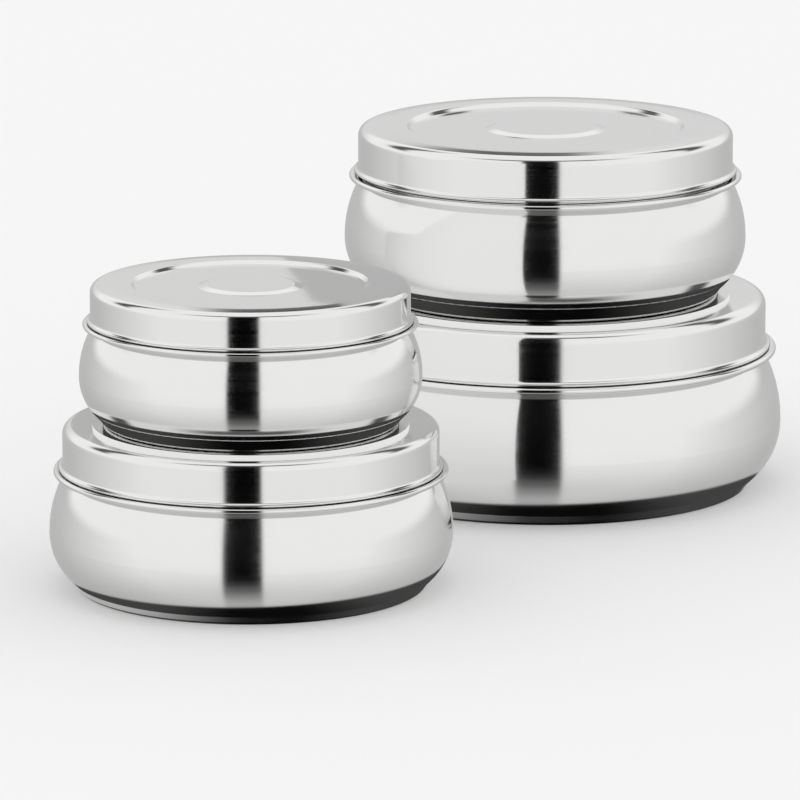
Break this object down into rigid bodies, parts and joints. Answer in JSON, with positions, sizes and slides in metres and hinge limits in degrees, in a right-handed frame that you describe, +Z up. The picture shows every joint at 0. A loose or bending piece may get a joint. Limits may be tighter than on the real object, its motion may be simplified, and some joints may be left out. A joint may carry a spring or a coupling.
{
  "type": "spice box set",
  "caption": "Set of stacked round belly boxes for spices, each with a footed bowl, a lift-off lid, loose cups and a spoon.",
  "frame": {"origin": "on the table, under the middle of the set's outer box", "axes": "+Z up, +Y to the back, +X to the right as seen from the front; the small and medium boxes stand front left, the large and extra large ones back right"},
  "size_m": [0.27, 0.332, 0.1379],
  "materials": {
    "polished_steel": "mirror polished stainless steel",
    "cup_steel": "satin stainless steel",
    "spoon_steel": "polished stainless steel"
  },
  "bodies": {
    "small_bowl": {"small_bowl": "polished_steel"},
    "small_lid": {"small_lid": "polished_steel"},
    "small_cup_1": {"small_cup_1": "cup_steel"},
    "small_cup_2": {"small_cup_2": "cup_steel"},
    "small_cup_3": {"small_cup_3": "cup_steel"},
    "small_cup_4": {"small_cup_4": "cup_steel"},
    "small_cup_5": {"small_cup_5": "cup_steel"},
    "small_cup_6": {"small_cup_6": "cup_steel"},
    "small_cup_7": {"small_cup_7": "cup_steel"},
    "small_spoon": {"small_spoon": "spoon_steel"},
    "medium_bowl": {"medium_bowl": "polished_steel"},
    "medium_lid": {"medium_lid": "polished_steel"},
    "medium_cup_1": {"medium_cup_1": "cup_steel"},
    "medium_cup_2": {"medium_cup_2": "cup_steel"},
    "medium_cup_3": {"medium_cup_3": "cup_steel"},
    "medium_cup_4": {"medium_cup_4": "cup_steel"},
    "medium_cup_5": {"medium_cup_5": "cup_steel"},
    "medium_cup_6": {"medium_cup_6": "cup_steel"},
    "medium_cup_7": {"medium_cup_7": "cup_steel"},
    "medium_spoon": {"medium_spoon": "spoon_steel"},
    "large_bowl": {"large_bowl": "polished_steel"},
    "large_lid": {"large_lid": "polished_steel"},
    "large_cup_1": {"large_cup_1": "cup_steel"},
    "large_cup_2": {"large_cup_2": "cup_steel"},
    "large_cup_3": {"large_cup_3": "cup_steel"},
    "large_cup_4": {"large_cup_4": "cup_steel"},
    "large_cup_5": {"large_cup_5": "cup_steel"},
    "large_cup_6": {"large_cup_6": "cup_steel"},
    "large_cup_7": {"large_cup_7": "cup_steel"},
    "large_spoon": {"large_spoon": "spoon_steel"},
    "extra_large_bowl": {"extra_large_bowl": "polished_steel"},
    "extra_large_lid": {"extra_large_lid": "polished_steel"},
    "extra_large_cup_1": {"extra_large_cup_1": "cup_steel"},
    "extra_large_cup_2": {"extra_large_cup_2": "cup_steel"},
    "extra_large_cup_3": {"extra_large_cup_3": "cup_steel"},
    "extra_large_cup_4": {"extra_large_cup_4": "cup_steel"},
    "extra_large_cup_5": {"extra_large_cup_5": "cup_steel"},
    "extra_large_cup_6": {"extra_large_cup_6": "cup_steel"},
    "extra_large_cup_7": {"extra_large_cup_7": "cup_steel"},
    "extra_large_spoon": {"extra_large_spoon": "spoon_steel"}
  },
  "joints": [
    {"name": "small_lid_lift", "type": "slide", "parent": "small_bowl", "child": "small_lid", "axis": [0, 0, 1], "range_m": [0, 0.12]},
    {"name": "small_cup_1_lift", "type": "slide", "parent": "small_bowl", "child": "small_cup_1", "axis": [0, 0, 1], "range_m": [0, 0.06]},
    {"name": "small_cup_2_lift", "type": "slide", "parent": "small_bowl", "child": "small_cup_2", "axis": [0, 0, 1], "range_m": [0, 0.06]},
    {"name": "small_cup_3_lift", "type": "slide", "parent": "small_bowl", "child": "small_cup_3", "axis": [0, 0, 1], "range_m": [0, 0.06]},
    {"name": "small_cup_4_lift", "type": "slide", "parent": "small_bowl", "child": "small_cup_4", "axis": [0, 0, 1], "range_m": [0, 0.06]},
    {"name": "small_cup_5_lift", "type": "slide", "parent": "small_bowl", "child": "small_cup_5", "axis": [0, 0, 1], "range_m": [0, 0.06]},
    {"name": "small_cup_6_lift", "type": "slide", "parent": "small_bowl", "child": "small_cup_6", "axis": [0, 0, 1], "range_m": [0, 0.06]},
    {"name": "small_cup_7_lift", "type": "slide", "parent": "small_bowl", "child": "small_cup_7", "axis": [0, 0, 1], "range_m": [0, 0.06]},
    {"name": "small_spoon_lift", "type": "slide", "parent": "small_bowl", "child": "small_spoon", "axis": [0, 0, 1], "range_m": [0, 0.09]},
    {"name": "medium_lid_lift", "type": "slide", "parent": "medium_bowl", "child": "medium_lid", "axis": [0, 0, 1], "range_m": [0, 0.13]},
    {"name": "medium_cup_1_lift", "type": "slide", "parent": "medium_bowl", "child": "medium_cup_1", "axis": [0, 0, 1], "range_m": [0, 0.065]},
    {"name": "medium_cup_2_lift", "type": "slide", "parent": "medium_bowl", "child": "medium_cup_2", "axis": [0, 0, 1], "range_m": [0, 0.065]},
    {"name": "medium_cup_3_lift", "type": "slide", "parent": "medium_bowl", "child": "medium_cup_3", "axis": [0, 0, 1], "range_m": [0, 0.065]},
    {"name": "medium_cup_4_lift", "type": "slide", "parent": "medium_bowl", "child": "medium_cup_4", "axis": [0, 0, 1], "range_m": [0, 0.065]},
    {"name": "medium_cup_5_lift", "type": "slide", "parent": "medium_bowl", "child": "medium_cup_5", "axis": [0, 0, 1], "range_m": [0, 0.065]},
    {"name": "medium_cup_6_lift", "type": "slide", "parent": "medium_bowl", "child": "medium_cup_6", "axis": [0, 0, 1], "range_m": [0, 0.065]},
    {"name": "medium_cup_7_lift", "type": "slide", "parent": "medium_bowl", "child": "medium_cup_7", "axis": [0, 0, 1], "range_m": [0, 0.065]},
    {"name": "medium_spoon_lift", "type": "slide", "parent": "medium_bowl", "child": "medium_spoon", "axis": [0, 0, 1], "range_m": [0, 0.0975]},
    {"name": "large_lid_lift", "type": "slide", "parent": "large_bowl", "child": "large_lid", "axis": [0, 0, 1], "range_m": [0, 0.14]},
    {"name": "large_cup_1_lift", "type": "slide", "parent": "large_bowl", "child": "large_cup_1", "axis": [0, 0, 1], "range_m": [0, 0.07]},
    {"name": "large_cup_2_lift", "type": "slide", "parent": "large_bowl", "child": "large_cup_2", "axis": [0, 0, 1], "range_m": [0, 0.07]},
    {"name": "large_cup_3_lift", "type": "slide", "parent": "large_bowl", "child": "large_cup_3", "axis": [0, 0, 1], "range_m": [0, 0.07]},
    {"name": "large_cup_4_lift", "type": "slide", "parent": "large_bowl", "child": "large_cup_4", "axis": [0, 0, 1], "range_m": [0, 0.07]},
    {"name": "large_cup_5_lift", "type": "slide", "parent": "large_bowl", "child": "large_cup_5", "axis": [0, 0, 1], "range_m": [0, 0.07]},
    {"name": "large_cup_6_lift", "type": "slide", "parent": "large_bowl", "child": "large_cup_6", "axis": [0, 0, 1], "range_m": [0, 0.07]},
    {"name": "large_cup_7_lift", "type": "slide", "parent": "large_bowl", "child": "large_cup_7", "axis": [0, 0, 1], "range_m": [0, 0.07]},
    {"name": "large_spoon_lift", "type": "slide", "parent": "large_bowl", "child": "large_spoon", "axis": [0, 0, 1], "range_m": [0, 0.105]},
    {"name": "extra_large_lid_lift", "type": "slide", "parent": "extra_large_bowl", "child": "extra_large_lid", "axis": [0, 0, 1], "range_m": [0, 0.15]},
    {"name": "extra_large_cup_1_lift", "type": "slide", "parent": "extra_large_bowl", "child": "extra_large_cup_1", "axis": [0, 0, 1], "range_m": [0, 0.075]},
    {"name": "extra_large_cup_2_lift", "type": "slide", "parent": "extra_large_bowl", "child": "extra_large_cup_2", "axis": [0, 0, 1], "range_m": [0, 0.075]},
    {"name": "extra_large_cup_3_lift", "type": "slide", "parent": "extra_large_bowl", "child": "extra_large_cup_3", "axis": [0, 0, 1], "range_m": [0, 0.075]},
    {"name": "extra_large_cup_4_lift", "type": "slide", "parent": "extra_large_bowl", "child": "extra_large_cup_4", "axis": [0, 0, 1], "range_m": [0, 0.075]},
    {"name": "extra_large_cup_5_lift", "type": "slide", "parent": "extra_large_bowl", "child": "extra_large_cup_5", "axis": [0, 0, 1], "range_m": [0, 0.075]},
    {"name": "extra_large_cup_6_lift", "type": "slide", "parent": "extra_large_bowl", "child": "extra_large_cup_6", "axis": [0, 0, 1], "range_m": [0, 0.075]},
    {"name": "extra_large_cup_7_lift", "type": "slide", "parent": "extra_large_bowl", "child": "extra_large_cup_7", "axis": [0, 0, 1], "range_m": [0, 0.075]},
    {"name": "extra_large_spoon_lift", "type": "slide", "parent": "extra_large_bowl", "child": "extra_large_spoon", "axis": [0, 0, 1], "range_m": [0, 0.1125]},
    {"name": "medium_bowl_lift", "type": "slide", "parent": "extra_large_bowl", "child": "medium_bowl", "axis": [0, 0, 1], "range_m": [0, 0.15]},
    {"name": "large_bowl_lift", "type": "slide", "parent": "extra_large_lid", "child": "large_bowl", "axis": [0, 0, 1], "range_m": [0, 0.15]},
    {"name": "small_bowl_lift", "type": "slide", "parent": "medium_lid", "child": "small_bowl", "axis": [0, 0, 1], "range_m": [0, 0.13]}
  ],
  "couplings": [
    {"joint": "small_cup_1_lift", "follows": "small_lid_lift", "ratio": 0.5},
    {"joint": "small_cup_2_lift", "follows": "small_lid_lift", "ratio": 0.5},
    {"joint": "small_cup_3_lift", "follows": "small_lid_lift", "ratio": 0.5},
    {"joint": "small_cup_4_lift", "follows": "small_lid_lift", "ratio": 0.5},
    {"joint": "small_cup_5_lift", "follows": "small_lid_lift", "ratio": 0.5},
    {"joint": "small_cup_6_lift", "follows": "small_lid_lift", "ratio": 0.5},
    {"joint": "small_cup_7_lift", "follows": "small_lid_lift", "ratio": 0.5},
    {"joint": "small_spoon_lift", "follows": "small_lid_lift", "ratio": 0.75},
    {"joint": "medium_cup_1_lift", "follows": "medium_lid_lift", "ratio": 0.5},
    {"joint": "medium_cup_2_lift", "follows": "medium_lid_lift", "ratio": 0.5},
    {"joint": "medium_cup_3_lift", "follows": "medium_lid_lift", "ratio": 0.5},
    {"joint": "medium_cup_4_lift", "follows": "medium_lid_lift", "ratio": 0.5},
    {"joint": "medium_cup_5_lift", "follows": "medium_lid_lift", "ratio": 0.5},
    {"joint": "medium_cup_6_lift", "follows": "medium_lid_lift", "ratio": 0.5},
    {"joint": "medium_cup_7_lift", "follows": "medium_lid_lift", "ratio": 0.5},
    {"joint": "medium_spoon_lift", "follows": "medium_lid_lift", "ratio": 0.75},
    {"joint": "large_cup_1_lift", "follows": "large_lid_lift", "ratio": 0.5},
    {"joint": "large_cup_2_lift", "follows": "large_lid_lift", "ratio": 0.5},
    {"joint": "large_cup_3_lift", "follows": "large_lid_lift", "ratio": 0.5},
    {"joint": "large_cup_4_lift", "follows": "large_lid_lift", "ratio": 0.5},
    {"joint": "large_cup_5_lift", "follows": "large_lid_lift", "ratio": 0.5},
    {"joint": "large_cup_6_lift", "follows": "large_lid_lift", "ratio": 0.5},
    {"joint": "large_cup_7_lift", "follows": "large_lid_lift", "ratio": 0.5},
    {"joint": "large_spoon_lift", "follows": "large_lid_lift", "ratio": 0.75},
    {"joint": "extra_large_cup_1_lift", "follows": "extra_large_lid_lift", "ratio": 0.5},
    {"joint": "extra_large_cup_2_lift", "follows": "extra_large_lid_lift", "ratio": 0.5},
    {"joint": "extra_large_cup_3_lift", "follows": "extra_large_lid_lift", "ratio": 0.5},
    {"joint": "extra_large_cup_4_lift", "follows": "extra_large_lid_lift", "ratio": 0.5},
    {"joint": "extra_large_cup_5_lift", "follows": "extra_large_lid_lift", "ratio": 0.5},
    {"joint": "extra_large_cup_6_lift", "follows": "extra_large_lid_lift", "ratio": 0.5},
    {"joint": "extra_large_cup_7_lift", "follows": "extra_large_lid_lift", "ratio": 0.5},
    {"joint": "extra_large_spoon_lift", "follows": "extra_large_lid_lift", "ratio": 0.75}
  ]
}
